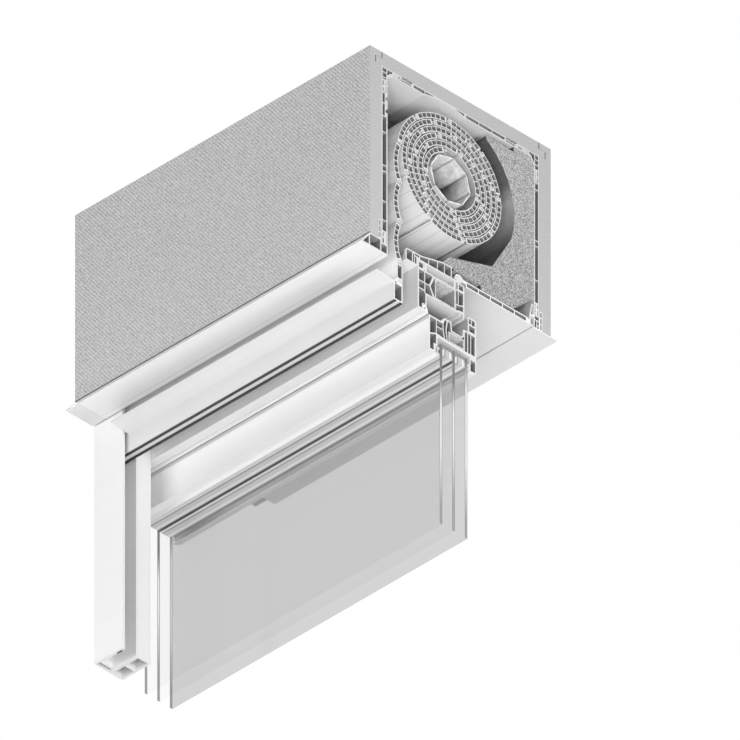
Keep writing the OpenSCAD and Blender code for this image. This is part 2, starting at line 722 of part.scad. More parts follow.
// One slat's section: pivot of its socket at the origin, pivot of its hook at [slat_pitch, 0], bowed upwards,
// with its two faces drawn in n steps
module slat_2d(bow, hooked = true, n = 4) {
    half = slat_t / 2;
    r = (slat_pitch * slat_pitch / 4 + bow * bow) / (2 * bow);
    b = asin(slat_pitch / 2 / r);
    o = [slat_pitch / 2, bow - r];
    stop = hooked ? (half + end_gap) / r * 180 / PI : (half + fit) / r * 180 / PI;
    head = [slat_pitch, 0];
    neck = asin(stem_t / 2 / bulb_r);
    hook = concat(
        [o + (r - stem_t / 2) * [cos(90 - b + stop), sin(90 - b + stop)]],
        arc(head, bulb_r, 180 - b + neck, 540 - b - neck, 5),
        [o + (r + stem_t / 2) * [cos(90 - b + stop), sin(90 - b + stop)]]);
    start = (socket_r + slat_wall + 1) / r * 180 / PI;
    span = 2 * b - stop - start - slat_wall / r * 180 / PI;
    step = span / slat_cells;
    rib = slat_wall / r * 180 / PI;
    r_in = r - half + slat_wall;
    r_out = r + half - slat_wall;
    section(
        concat(
            arc(o, r - half, 90 + b, 90 - b + stop, n),
            hooked ? hook : [],
            arc(o, r + half, 90 - b + stop, 90 + b, n),
            arc([0, 0], half, 90 + b + 8, 180 + b - socket_up, 1),
            arc([0, 0], socket_r, 180 + b - socket_up, b + socket_down - 180, 6),
            arc([0, 0], half, 180 + b + socket_down, 270 + b - 12, 1)),
        [for (i = [0 : slat_cells - 1])
            let (a = 90 + b - start - i * step, e = a - step + rib)
            [o + r_in * [cos(a), sin(a)], o + r_out * [cos(a), sin(a)],
            o + r_out * [cos(e), sin(e)], o + r_in * [cos(e), sin(e)]]]);
}

// Angle round the roll, counted inwards from where the curtain leaves it, and the radius there
function turn_r(a) = roll_r - turn_step * a / 360;
function turn_step_at(a) = 2 * asin(slat_pitch / 2 / turn_r(a + asin(slat_pitch / 2 / turn_r(a))));
function turn_angles(n, a = 0) = n < 0 ? [] : concat([a], turn_angles(n - 1, a + turn_step_at(a)));
function turn_point(a) = turn_r(a) * [cos(start_angle - a), sin(start_angle - a)];
joints = turn_angles(rolled_count);
bow_share = 0.15;

// One wound slat, counted inwards from the curtain
module wound_slat(i) {
    p = turn_point(joints[i]);
    d = turn_point(joints[i + 1]) - p;
    r = turn_r((joints[i] + joints[i + 1]) / 2);
    round_bow = r - sqrt(r * r - slat_pitch * slat_pitch / 4);
    color("#dedede")
        on_axis(slat_x0, x_near)
            translate(p)
                rotate(atan2(d[1], d[0]))
                    slat_2d(bow_share * slat_bow + (1 - bow_share) * round_bow, n = r < 62 ? 5 : 4);
}

// The outermost slat, the next to come off the roll
module leading_slat() {
    wound_slat(0);
}

// The other slats of the roll whose outer ends lie in the given turn
module rolled(turn) {
    for (i = [1 : rolled_count - 1])
        if (floor(joints[i] / 360) == turn || (turn == 3 && joints[i] >= 1440))
            wound_slat(i);
}

// Spring-steel straps: from the innermost slat's hook, round a corner of the shaft and along its flat
module suspension_straps() {
    strap_t = 0.8;
    strap_w = 26;
    n = 8;
    seat = shaft_af / 2 + fit;
    corner_r = shaft_af / 2 / cos(22.5) + fit;
    a0 = start_angle - joints[rolled_count];
    corner_a = shaft_turn + 45 * floor((a0 - 60 - shaft_turn) / 45);
    flat_a = corner_a - 22.5;
    r0 = turn_r(joints[rolled_count]) - bulb_r - strap_t - fit;
    inner = [for (i = [0 : n]) let (a = a0 + (corner_a - a0) * i / n, r = r0 + (corner_r - r0) * i / n)
        r * [cos(a), sin(a)]];
    outer = [for (i = [n : -1 : 0]) let (a = a0 + (corner_a - a0) * i / n, r = r0 + (corner_r - r0) * i / n)
        (r + strap_t) * [cos(a), sin(a)]];
    flat = [for (r = [seat, seat + strap_t]) r * [cos(flat_a), sin(flat_a)]];
    color("#b5b5b5")
        for (x = [x_near - strap_w - 4, -sample_len / 4])
            on_axis(x, x + strap_w)
                section(concat(inner, flat, outer));
}

/* Curtain: the slats that hang straight, and the end bar */

module hanging_slats() {
    color("#e2e2e2")
        run(slat_x0, x_near)
            for (i = [0 : hang_count - 1])
                translate([hang_y, hang_z1 - (i + 1) * slat_pitch])
                    rotate(90)
                        slat_2d(slat_bow, i > 0);
}

bar_y0 = hang_y - 4.8;
bar_y1 = hang_y + 4.4;
bar_top = hang_z0 - slat_t / 2 - end_gap;
bar_neck = bar_top - 20.4;

module end_bar_slat() {
    w = 1.6;
    tilt = 26;
    color("#ececec")
        run(slat_x0, x_near)
            section(
                concat(
                    [[hang_y - stem_t / 2 - 2, bar_top], [hang_y - stem_t / 2 - 0.9, hang_z0 - bulb_r - 0.6]],
                    arc([hang_y, hang_z0], bulb_r, 270 - tilt - 12, -90 - tilt + 12, 6),
                    [[hang_y + stem_t / 2 - 0.9, bar_top], [bar_y1, bar_top], [bar_y1, bar_neck],
                    [hang_y + 1.4, bar_neck], [hang_y + 1.4, bar_neck - 3], [hang_y + 3, bar_neck - 3],
                    [hang_y + 3, bar_neck - 5], [hang_y - 3, bar_neck - 5], [hang_y - 3, bar_neck - 3],
                    [hang_y - 1.4, bar_neck - 3], [hang_y - 1.4, bar_neck], [bar_y0, bar_neck],
                    [bar_y0, bar_top]]),
                [rect(bar_y0 + w, bar_y1 - w, bar_neck + w, bar_top - w)]);
}

bar_z1 = bar_neck - fit;
bar_z0 = bar_z1 - 31;

module end_bar() {
    y0 = hang_y - 9.4;
    w = 1.7;
    lip = 2.4;
    out = 29;
    slot = rect(hang_y - 3 - fit, hang_y + 3 + fit, bar_neck - 5 - fit, bar_neck - 3 + fit);
    color("#ececec")
        union() {
            run(slat_x0, x_near)
                section(
                    [[y0, bar_z0], [bar_y1, bar_z0], [bar_y1, bar_z1], [hang_y + 1.4 + fit, bar_z1],
                    [hang_y + 1.4 + fit, slot[2][1]], slot[2], slot[1], slot[0], slot[3],
                    [hang_y - 1.4 - fit, slot[2][1]], [hang_y - 1.4 - fit, bar_z1],
                    [hang_y - 5, bar_z1], [y0, bar_z1 - 5]],
                    [rect(y0 + w, bar_y1 - w, bar_z0 + w, bar_neck - 9),
                    rect(y0 + w, hang_y - 3 - fit - w, bar_neck - 7.6, bar_neck - 6)]);
            run(x_far + rail_w + 3, x_near)
                section([
                    [y0 - out, bar_z1 - 5.6], [y0 - out, bar_z1 - 5.6 + lip * 0.7],
                    [y0 - out * 0.5, bar_z1 - 4.6], [y0 + 0.4, bar_z1 - 5.2], [y0 + 0.4, bar_z1 - 5.2 - lip],
                    [y0 - out * 0.5, bar_z1 - 4.6 - lip * 0.8]]);
        }
}

module end_bar_seals() {
    z1 = bar_z0 - 0.2;
    seal_w = 3.3;
    color("#1d1d1d")
        run(slat_x0, x_near)
            for (y = [hang_y - 8.8, bar_y1 - seal_w - 0.4])
                section(concat(
                    [[y, z1], [y + seal_w, z1], [y + seal_w, z1 - 0.6]],
                    arc([y + seal_w / 2, z1 - 0.7], seal_w / 2 - 0.15, -10, -170, 6),
                    [[y, z1 - 0.6]]));
}

/* Inspection cover, hooked over the adapter's round edge */

module inspection_cover() {
    r0 = hook_r + fit + 0.1;
    r1 = r0 + hook_t;
    body = cover_y + 10.9;
    y1 = cover_y1;
    neck = cover_z - 0.8;
    w = 1.6;
    snap = y1 - 6.5;
    inner = snap - 3;
    cell = (inner - body - w) / 5;
    color("#f1f1f1")
        window_run(x_run, x_near)
            section(
                concat(
                    [[body, 0], [y1, 0], [y1, w], [snap + 3, w], [snap + 3, cover_t + 3.6],
                    [snap + 1, cover_t + 3.6], [snap + 1, cover_t - 1.5], [inner, cover_t], [body, cover_t]],
                    arc([cover_y, cover_z], r1, 26, 198, 10),
                    arc([cover_y, cover_z], r0, 198, 0, 10),
                    [[cover_y + r0, neck], [body, neck]]),
                [for (i = [0 : 4])
                    rect(body + w + cell * i, body + cell * (i + 1), w, cover_t - w)]);
}

/* Sash and its glazing */

module sash_head() {
    in = 2.2;
    y1 = sash_y1;
    color("#f3f3f3")
        window_run(x_far, x_near)
            section(
                [[sash_y0, sash_low], [sash_y0, sash_top], [37.2, sash_top], [42.6, -59.4], [53.8, -59.4],
                [54.6, -71.2], [69.6, -71.6], [71.8, -69], [72.4, -60.2], [80, -59.8], [80, -38.8],
                [y1, -38.8], [y1, -94.6], [89.6, -95], [89.6, -90.6], [86.8, -90.6], [86.8, -93.2],
                [83, -93.2], [32, -91.2], [31.4, -104], [27.6, -104], [27.6, sash_low]],
                [[[sash_y0 + in, -90.4], [sash_y0 + in, sash_top - in], [29.2, sash_top - in], [29.2, -86.6]],
                rect(30.4, 39.8, -76.2, sash_top - in),
                [[30.4, -86.4], [30.4, -77.4], [40, -77.4], [42, -88.2]],
                [[41.2, -76.6], [41.2, -67.2], [43.4, -61.8], [46.2, -61.4], [44.4, -74.4], [46.4, -88.2],
                [43.6, -88.2]],
                [[46, -74.4], [48, -61.4], [51.9, -61.4], [53, -73.2], [69, -73.6], [73.6, -70.4],
                [74.2, -62.2], [74.2, -88.8], [47.8, -88.8]],
                rect(75.4, 79, -89, -62),
                rect(80.4, 84, -89, -62),
                rect(85.2, y1 - in, -88.6, -62),
                rect(81.8, 85, -47.6, -40.8),
                rect(86.2, y1 - in, -48, -40.8),
                rect(82, y1 - in, -58, -50),
                [[sash_y0 + in, sash_low + in], [sash_y0 + in, -92.2], [29.4, -88.6], [29.4, -102],
                [25.4, -102], [25.4, sash_low + in]]]);
}

module sash_reinforcement() {
    color("#a8adb0")
        window_run(x_far + 10, x_near)
            steel_tube(49.2, 73.8, -88.4, -74.2);
}

module overlap_gasket() {
    color("#9a9a9a")
        window_run(x_far + 12, x_near)
            section([[80 - fit, -39.2], [80 - fit, -44.4], [78.2, -44], [frame_d + 0.4, -42.2],
                [frame_d + 0.4, -41.4], [78.2, -40.4]]);
}

module pane(i) {
    y = pane_y + i * (pane_t + pane_gap);
    color("#cfd4d4")
        window_run(x_far, x_near)
            section(rect(y, y + pane_t, -glass_drop, unit_top));
}

module glass_outer() { pane(0); }

module glass_middle() { pane(1); }

module glass_inner() { pane(2); }

spacer_top = unit_top - 4.4;
spacer_h = 9.4;

module pane_spacers() {
    color("#b0b0b0")
        window_run(x_far, x_near)
            for (i = [0, 1]) {
                y = pane_y + pane_t + i * (pane_t + pane_gap);
                section([[y, spacer_top - 3], [y + 3, spacer_top], [y + pane_gap - 3, spacer_top],
                    [y + pane_gap, spacer_top - 3], [y + pane_gap, spacer_top - spacer_h],
                    [y, spacer_top - spacer_h]]);
            }
}

module edge_seal() {
    color("#4a4a4a")
        window_run(x_far, x_near)
            for (i = [0, 1]) {
                y = pane_y + pane_t + i * (pane_t + pane_gap);
                section([[y, unit_top - 0.8], [y + pane_gap, unit_top - 0.8], [y + pane_gap, spacer_top - 3],
                    [y + pane_gap - 3, spacer_top], [y + 3, spacer_top], [y, spacer_top - 3]]);
            }
}

unit_y1 = pane_y + 3 * pane_t + 2 * pane_gap;

module glazing_bead() {
    y0 = unit_y1 + 3.6;
    y1 = sash_y1;
    low = sash_low - 4.6;
    w = 1.5;
    color("#f3f3f3")
        window_run(x_far, x_near)
            section(
                [[y0, low + 6.6], [y0, -94], [89.4 - 2.3, -94 + 0.3], [87.1, -91], [89.3, -91], [89.3, -95.6],
                [y1, -95.2], [y1, low + 6.6], [y1 - 1.6, low + 5], [y0 - 3, low], [y0 - 3, low + 2.4]],
                [[[y0 + w, low + 7], [y0 + w, -96.4], [86.4, -96.6], [y1 - w, -97], [y1 - w, low + 7.4]]]);
}

// Gasket lip between the sash's outer leg and the outer pane
module glazing_gasket_outer() {
    color("#8c8c8c")
        window_run(x_far, x_near)
            section([
                [27.6 + fit, -104 - fit], [pane_y - fit, -104 - fit], [pane_y - fit, -106], [32.6, -110.4],
                [pane_y - fit, -113.4], [pane_y - fit, -116.6], [31.6, -117], [27.6 + fit, sash_low + 0.4]],
                [[[29.4, -112.6], [29.4, -106], [31.6, -106], [31, -110.4], [31.6, -113]]]);
}

module glazing_gasket_inner() {
    y0 = unit_y1 + fit;
    y1 = unit_y1 + 3.6 - fit;
    low = sash_low - 4.6;
    color("#8c8c8c")
        window_run(x_far, x_near)
            section([[y0, low + 3.2], [y0, low + 7.8], [y1 - 1.2, low + 9.8], [y0, low + 12],
                [y0, low + 14.6], [y1, low + 15], [y1, low + 7.4]]);
}

/* Side hinge of the sash, at the far end */

knuckle_low = knuckle_top - 15;
bearing_top = knuckle_top + 10;

// An upright eye on the hinge's axis, with the arm that carries it
module hinge_eye(z0, z1, bore, arm) {
    translate([0, 0, z0])
        linear_extrude(z1 - z0)
            difference() {
                union() {
                    translate([hinge_x, hinge_y - box_d / 2])
                        circle(r = hinge_r, $fn = 24);
                    children();
                }
                translate([hinge_x, hinge_y - box_d / 2])
                    circle(r = bore, $fn = 24);
            }
}

module frame_hinge() {
    face = frame_y + frame_d + fit - box_d / 2;
    z1 = -box_h + bearing_top;
    z0 = -box_h + knuckle_top + 0.9;
    color("#d4d4d4")
        union() {
            hinge_eye(z0, z1, pin_r + 0.05)
                polygon([
                    [hinge_x, face], [hinge_x + 5, face], [hinge_x + hinge_r - 0.5, hinge_y - box_d / 2 + 1],
                    [hinge_x - hinge_r + 1.2, hinge_y - box_d / 2], [hinge_x - 4, face]]);
            translate([hinge_x - 4.6, face, z0])
                cube([30, 3, z1 - z0 + 14]);
        }
}

module stay_hinge() {
    face = frame_y + sash_y1 + fit - box_d / 2;
    z1 = -box_h + knuckle_top;
    z0 = -box_h + knuckle_low;
    color("#d4d4d4")
        union() {
            hinge_eye(z0, z1, pin_r + 0.08)
                polygon([
                    [hinge_x, face], [hinge_x + 12, face], [hinge_x + 12, face + 2.5],
                    [hinge_x + 4, hinge_y - box_d / 2 + 2], [hinge_x, hinge_y - box_d / 2]]);
            translate([hinge_x, face, z0 - 4])
                cube([62, 2.5, z1 - z0 + 4]);
        }
}

module hinge_pin() {
    color("#9c9c9c")
        translate([hinge_x, hinge_y - box_d / 2, -box_h + knuckle_low - 1])
            union() {
                cylinder(r = pin_r, h = bearing_top - knuckle_low + 2, $fn = 24);
                translate([0, 0, bearing_top - knuckle_low + 1.2])
                    cylinder(r = pin_r + 1.4, h = 1.6, $fn = 24);
            }
}

front_shell();
top_shell();
rear_shell();
front_wall_profile();
top_wall_profile();
rear_wall_profile();
corner_profile_front_top();
corner_profile_rear_top();
corner_profile_rear_bottom();
plaster_nosing();
insulation_block();
base_adapter();
lip_seal();
frame_head();
frame_reinforcement();
frame_gasket();
adapter_screws();
end_cap();
end_cap_screws();
motor_bracket();
motor();
guide_rail();
rail_spacer();
rail_brushes();
octagon_shaft();
shaft_crown();
drive_wheel();
suspension_straps();
leading_slat();
rolled(0);  // rolled_slats_1
rolled(1);  // rolled_slats_2
rolled(2);  // rolled_slats_3
rolled(3);  // rolled_slats_4
hanging_slats();
end_bar_slat();
end_bar();
end_bar_seals();
inspection_cover();
sash_head();
sash_reinforcement();
overlap_gasket();
glass_outer();
glass_middle();
glass_inner();
pane_spacers();
edge_seal();
glazing_bead();
glazing_gasket_outer();
glazing_gasket_inner();
stay_hinge();
frame_hinge();
hinge_pin();
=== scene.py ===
import math

import bpy
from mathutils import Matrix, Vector
from mathutils.bvhtree import BVHTree


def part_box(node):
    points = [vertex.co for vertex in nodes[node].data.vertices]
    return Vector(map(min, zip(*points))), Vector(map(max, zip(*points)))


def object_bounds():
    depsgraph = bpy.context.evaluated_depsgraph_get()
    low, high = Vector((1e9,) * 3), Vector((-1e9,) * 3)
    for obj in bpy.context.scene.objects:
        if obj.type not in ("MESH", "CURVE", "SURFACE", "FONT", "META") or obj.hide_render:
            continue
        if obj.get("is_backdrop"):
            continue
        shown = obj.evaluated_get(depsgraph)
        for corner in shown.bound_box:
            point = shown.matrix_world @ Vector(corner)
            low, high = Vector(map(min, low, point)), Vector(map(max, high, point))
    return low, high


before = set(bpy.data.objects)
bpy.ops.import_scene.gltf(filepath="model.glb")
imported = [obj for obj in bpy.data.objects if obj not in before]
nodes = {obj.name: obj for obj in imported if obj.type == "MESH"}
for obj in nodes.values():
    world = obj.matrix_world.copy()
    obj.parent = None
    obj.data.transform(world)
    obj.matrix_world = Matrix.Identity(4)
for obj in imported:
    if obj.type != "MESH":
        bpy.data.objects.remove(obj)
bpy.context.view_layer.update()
scene = bpy.context.scene

# The axes' numbers. X runs along the window, Y from the facade to the room, and Z up.
X = 0
Y = 1
Z = 2

# The cut end of the window lies here along X, in metres, so a lower X is deeper behind the cut.
CUT_X = 0.235

# A face looks along an axis where its normal has more than this share along it. A saw cut has more still.
FACING = 0.9
CUT_FACING = 0.95

# The roll's axis, in metres
shaft_lo, shaft_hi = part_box("octagon_shaft")
AXIS_Y = (shaft_lo.y + shaft_hi.y) / 2
AXIS_Z = (shaft_lo.z + shaft_hi.z) / 2

# The angles in degrees from one bend of the eight-sided tube to the next, and of one bend at rest
BEND_STEP = 45
BEND_AT = 37

# The same for the ribs of a wound slat, one of which runs along a joint
RIB_STEP = 10.8
RIB_AT = 244.9

# The joints of the plaster-base panels, which show on the cut as lines with a step, in metres
JOINT_WIDTH = 0.0017
UPPER_JOINT_Y = 0.125
LOWER_JOINT_Y = 0.135
JOINT_STEP_Z = -0.009
JOINT_END_Z = -0.0185

# The heights of the facade panel's foot, the head's rebate over the sash, and the sash's overlap line, where
# painted shade lies: a shadow line at the foot, shade growing with depth in the rebate, and a shadow line
# under the overlap
FOOT_SHADOW_Z = -0.2568
REBATE_Z = -0.3
OVERLAP_Z = -0.3295

# The groove under the nosing, and the step from one desiccant hole of a spacer to the next
GROOVE_Y = -0.1225
GROOVE_WIDTH = 0.0014
HOLE_PITCH = 0.0032


# Node helpers
class Nodes:
    """A node tree with short calls for the nodes used here. A value is a number or a node's output."""

    def __init__(self, owner):
        owner.use_nodes = True
        self.tree = owner.node_tree
        self.tree.nodes.clear()

    def new(self, kind, **settings):
        node = self.tree.nodes.new(kind)
        for name, setting in settings.items():
            setattr(node, name, setting)
        return node

    def link(self, output, socket):
        self.tree.links.new(output, socket)

    def fill(self, socket, value):
        if isinstance(value, bpy.types.NodeSocket):
            self.link(value, socket)
        else:
            socket.default_value = value

    def math(self, operation, a, b=0.0):
        node = self.new("ShaderNodeMath", operation=operation)
        self.fill(node.inputs[0], a)
        self.fill(node.inputs[1], b)
        return node.outputs[0]

    def add(self, a, b):
        return self.math("ADD", a, b)

    def subtract(self, a, b):
        return self.math("SUBTRACT", a, b)

    def times(self, a, b):
        return self.math("MULTIPLY", a, b)

    def above(self, value, limit):
        """1 where the value is above the limit, 0 elsewhere."""
        return self.math("GREATER_THAN", value, limit)

    def below(self, value, limit):
        """1 where the value is below the limit, 0 elsewhere."""
        return self.math("LESS_THAN", value, limit)

    def size(self, value):
        """The value without its sign."""
        return self.math("ABSOLUTE", value)

    def opposite(self, mask):
        """0 where the mask is 1, and 1 where it is 0."""
        return self.subtract(1.0, mask)

    def near(self, value, middle, width):
        """1 where the value is within half the width of the middle, 0 elsewhere."""
        return self.below(self.size(self.subtract(value, middle)), width / 2)

    def mix(self, share, a, b):
        """a where the share is 0, b where it is 1."""
        node = self.new("ShaderNodeMix", data_type="FLOAT")
        self.fill(node.inputs[0], share)
        self.fill(node.inputs[2], a)
        self.fill(node.inputs[3], b)
        return node.outputs[0]

    def ramp(self, value, lo, hi, at_lo=0.0, at_hi=1.0):
        """Runs from at_lo to at_hi while the value goes from lo to hi, and holds beyond them."""
        node = self.new("ShaderNodeMapRange")
        for socket, v in zip(node.inputs, (value, lo, hi, at_lo, at_hi)):
            self.fill(socket, v)
        return node.outputs[0]

    def vary(self, texture, spread, lo=0.3, hi=0.7):
        """A change of up to the spread either way, while the texture goes from lo to hi."""
        return self.ramp(texture, lo, hi, -spread, spread)

    def curve(self, value, *points):
        """Runs straight through the given (value, result) points, which come in rising order."""
        total = points[0][1]
        for (a, at_a), (b, at_b) in zip(points, points[1:]):
            total = self.add(total, self.ramp(value, a, b, 0.0, at_b - at_a))
        return total

    def seen(self):
        """1 for the rays that show a background, 0 for those that light the object by it."""
        path = self.new("ShaderNodeLightPath")
        direct = self.math("MAXIMUM", path.outputs["Is Camera Ray"], path.outputs["Is Glossy Ray"])
        return self.math("MAXIMUM", direct, path.outputs["Is Transmission Ray"])


class Paint(Nodes):
    """A material with one main shader, painted by the piece's own coordinates in metres."""

    def __init__(self, name):
        self.material = bpy.data.materials.new(name)
        super().__init__(self.material)
        self.output = self.new("ShaderNodeOutputMaterial")
        self.shader = self.new("ShaderNodeBsdfPrincipled")
        self.link(self.shader.outputs[0], self.output.inputs[0])
        coordinates = self.new("ShaderNodeTexCoord")
        self.position = coordinates.outputs["Object"]
        self.normal = coordinates.outputs["Normal"]

    def part(self, vector, axis):
        node = self.new("ShaderNodeSeparateXYZ")
        self.link(vector, node.inputs[0])
        return node.outputs[axis]

    def at(self, axis):
        """Where the point lies along an axis."""
        return self.part(self.position, axis)

    def tilt(self, axis):
        """How far the surface looks along an axis, from -1 to 1."""
        return self.part(self.normal, axis)

    def front(self):
        """1 on faces that look away from the room, 0 elsewhere."""
        return self.below(self.tilt(Y), -FACING)

    def underside(self):
        """1 on faces that look down, 0 elsewhere."""
        return self.below(self.tilt(Z), -FACING)

    def cut(self):
        """1 on faces cut square across the window, 0 elsewhere."""
        return self.above(self.size(self.tilt(X)), CUT_FACING)

    def stretched(self, x, y, z):
        """The position with its axes scaled apart, for marks that run along a profile."""
        node = self.new("ShaderNodeMapping")
        self.link(self.position, node.inputs["Vector"])
        node.inputs["Scale"].default_value = (x, y, z)
        return node.outputs[0]

    def noise(self, scale, detail=2.0, vector=None):
        node = self.new("ShaderNodeTexNoise")
        self.link(vector or self.position, node.inputs["Vector"])
        node.inputs["Scale"].default_value = scale
        node.inputs["Detail"].default_value = detail
        return node.outputs[0]

    def cells(self, scale):
        node = self.new("ShaderNodeTexVoronoi")
        self.link(self.position, node.inputs["Vector"])
        node.inputs["Scale"].default_value = scale
        return node

    def set(self, name, value):
        """Fills one of the shader's inputs."""
        self.fill(self.shader.inputs[name], value)

    def grey(self, value):
        """Makes the base colour a grey of this brightness."""
        node = self.new("ShaderNodeCombineColor")
        for socket in node.inputs[:3]:
            self.fill(socket, value)
        self.link(node.outputs[0], self.shader.inputs["Base Color"])

    def bump(self, height, strength, distance):
        node = self.new("ShaderNodeBump")
        node.inputs["Strength"].default_value = strength
        node.inputs["Distance"].default_value = distance
        self.link(height, node.inputs["Height"])
        self.link(node.outputs[0], self.shader.inputs["Normal"])

    def around_axis(self):
        """How far the point is behind the roll's axis and over it, and its angle as a share of a turn."""
        behind = self.subtract(self.at(Y), AXIS_Y)
        over = self.subtract(self.at(Z), AXIS_Z)
        turn = self.math("DIVIDE", self.math("ARCTAN2", over, behind), math.tau)
        return behind, over, turn

    def from_line(self, turn, step, angle):
        """How far a turn is from the nearest line, as a share of the step from line to line. The step and the
        angle of one line are in degrees."""
        place = self.add(self.times(turn, 360 / step), 0.5 - angle / step)
        return self.size(self.subtract(self.math("FRACT", place), 0.5))


def put(material, *names):
    for name in names:
        slots = nodes[name].data.materials
        slots.clear()
        slots.append(material)


# Materials. Some take a function that gets a paint and a face's brightness, and returns that with the piece's
# own lines, painted shade and painted light added.
def upvc(name, level, cut_level, rough=0.32, marks_and_shade=None):
    """White extruded plastic: faint draw lines along the profile, and a brightness of its own on saw cuts."""
    m = Paint(name)
    drawn = m.noise(1.0, 3.0, m.stretched(4, 700, 700))
    cloud = m.noise(9.0)
    saw = m.noise(1.0, 2.0, m.stretched(300, 900, 240))
    face = m.add(m.add(m.vary(drawn, 0.012), m.vary(cloud, 0.015)), level)
    if marks_and_shade:
        face = marks_and_shade(m, face)
    m.grey(m.mix(m.cut(), face, m.ramp(saw, 0.2, 0.8, cut_level - 0.03, cut_level + 0.02)))
    m.set("Roughness", m.ramp(drawn, 0.2, 0.8, rough - 0.05, rough + 0.08))
    m.set("Specular IOR Level", 0.35)
    m.bump(drawn, 0.12, 0.0003)
    return m.material


def chamber_shade(name, at_cut, deep):
    """Painted shade for the inside of a hollow profile: darker with depth behind the cut and on its floors.
    """
    m = Paint(name)
    v = m.add(m.ramp(m.at(X), 0.20, CUT_X, deep, at_cut), m.ramp(m.tilt(Z), -1.0, 1.0, 0.06, -0.04))
    m.grey(m.add(v, m.vary(m.noise(180.0, 3.0), 0.02)))
    m.set("Roughness", 0.55)
    m.bump(m.noise(400.0), 0.1, 0.0003)
    return m.material


def plaster_panel():
    """Plaster-base panel: a woven-looking key on the faces, plain cuts, dark joints, and a dark foot painted
    as a shadow line.
    """
    m = Paint("plaster_panel")
    diagonal = m.new("ShaderNodeMapping")
    m.link(m.position, diagonal.inputs["Vector"])
    diagonal.inputs["Rotation"].default_value = (0.0, math.radians(38), math.radians(20))
    wave = m.new("ShaderNodeTexWave", wave_type="BANDS", bands_direction="X")
    m.link(diagonal.outputs[0], wave.inputs["Vector"])
    wave.inputs["Scale"].default_value = 95.0
    wave.inputs["Distortion"].default_value = 2.2
    wave.inputs["Detail"].default_value = 1.0
    wave.inputs["Detail Scale"].default_value = 9.0
    threads = m.ramp(wave.outputs[1], 0.0, 1.0, -0.08, 0.08)
    dots = m.ramp(m.cells(540.0).outputs["Distance"], 0.1, 0.7, 0.1, -0.1)
    key = m.add(m.add(threads, dots), m.vary(m.noise(740.0), 0.1, 0.25, 0.75))
    face = m.add(m.add(key, m.vary(m.noise(5.0), 0.012)), 0.525)
    plain = m.add(m.vary(m.noise(300.0), 0.01), 0.56)
    # Each top corner's joint runs down the cut, and steps outwards half way.
    depth = m.size(m.at(Y))
    height = m.at(Z)
    upper = m.above(height, JOINT_STEP_Z)
    upper_joint = m.times(m.near(depth, UPPER_JOINT_Y, JOINT_WIDTH), upper)
    lower_joint = m.times(m.near(depth, LOWER_JOINT_Y, JOINT_WIDTH), m.opposite(upper))
    joint = m.times(m.math("MAXIMUM", upper_joint, lower_joint), m.above(height, JOINT_END_Z))
    v = m.mix(m.cut(), face, m.mix(joint, plain, 0.2))
    # The facade panel's dark foot is a painted shadow line along its bottom edge.
    foot = m.times(m.below(height, FOOT_SHADOW_Z), m.below(m.at(Y), 0.0))
    m.grey(m.mix(m.times(foot, m.opposite(m.cut())), v, 0.06))
    m.set("Roughness", 0.9)
    m.set("Specular IOR Level", 0.2)
    m.bump(key, 0.5, 0.0012)
    return m.material


def foam():
    """Moulded bead foam: fine beads on the cut, paler towards the top, and in the hollow a dark painted shade
    that pales half way up.
    """
    m = Paint("bead_foam")
    beads = m.cells(760.0)
    fine = m.noise(1200.0, 3.0)
    tint = m.new("ShaderNodeSeparateColor")
    m.link(beads.outputs["Color"], tint.inputs[0])
    height = m.at(Z)
    grains = m.add(m.ramp(tint.outputs[0], 0.0, 1.0, -0.24, 0.24), m.vary(fine, 0.4, 0.25, 0.75))
    v = m.add(grains, m.ramp(height, -0.25, -0.04, 0.385, 0.465))
    # Painted shade on the hollow's faces: dark low down and at the top, palest half way up.
    hollow_shade = m.curve(height, (-0.215, 0.1), (-0.175, 0.11), (-0.15, 0.24), (-0.125, 0.47),
                   (-0.10, 0.55), (-0.08, 0.17), (-0.04, 0.105))
    hollow_shade = m.add(hollow_shade, m.vary(m.noise(260.0, 3.0), 0.02, 0.25, 0.75))
    hollow = m.times(m.below(m.tilt(Y), -0.25), m.opposite(m.cut()))
    m.grey(m.mix(hollow, v, hollow_shade))
    m.set("Roughness", 0.95)
    m.set("Specular IOR Level", 0.15)
    m.bump(m.add(beads.outputs["Distance"], m.times(fine, 0.4)), 0.35, 0.0008)
    return m.material


def rubber(name, level, rough=0.6):
    """Soft rubber: fine draw lines, and a cut a third brighter."""
    m = Paint(name)
    drawn = m.noise(1.0, 2.0, m.stretched(8, 900, 900))
    v = m.add(m.vary(drawn, 0.15 * level), level)
    m.grey(m.add(v, m.times(m.cut(), 0.35 * level)))
    m.set("Roughness", m.ramp(m.noise(500.0), 0.3, 0.7, rough - 0.1, rough + 0.1))
    m.bump(drawn, 0.2, 0.0003)
    return m.material


def glazing_seal(name, level, flat_level):
    """A pale soft seal, stippled most where it lies flat under the pane."""
    m = Paint(name)
    stipple = m.vary(m.noise(520.0), 0.07)
    flat = m.underside()
    m.grey(m.add(m.mix(flat, level, flat_level), m.times(stipple, m.ramp(flat, 0.0, 1.0, 0.25, 1.0))))
    m.set("Roughness", m.ramp(m.noise(500.0), 0.3, 0.7, 0.5, 0.65))
    m.bump(stipple, 0.2, 0.0003)
    return m.material


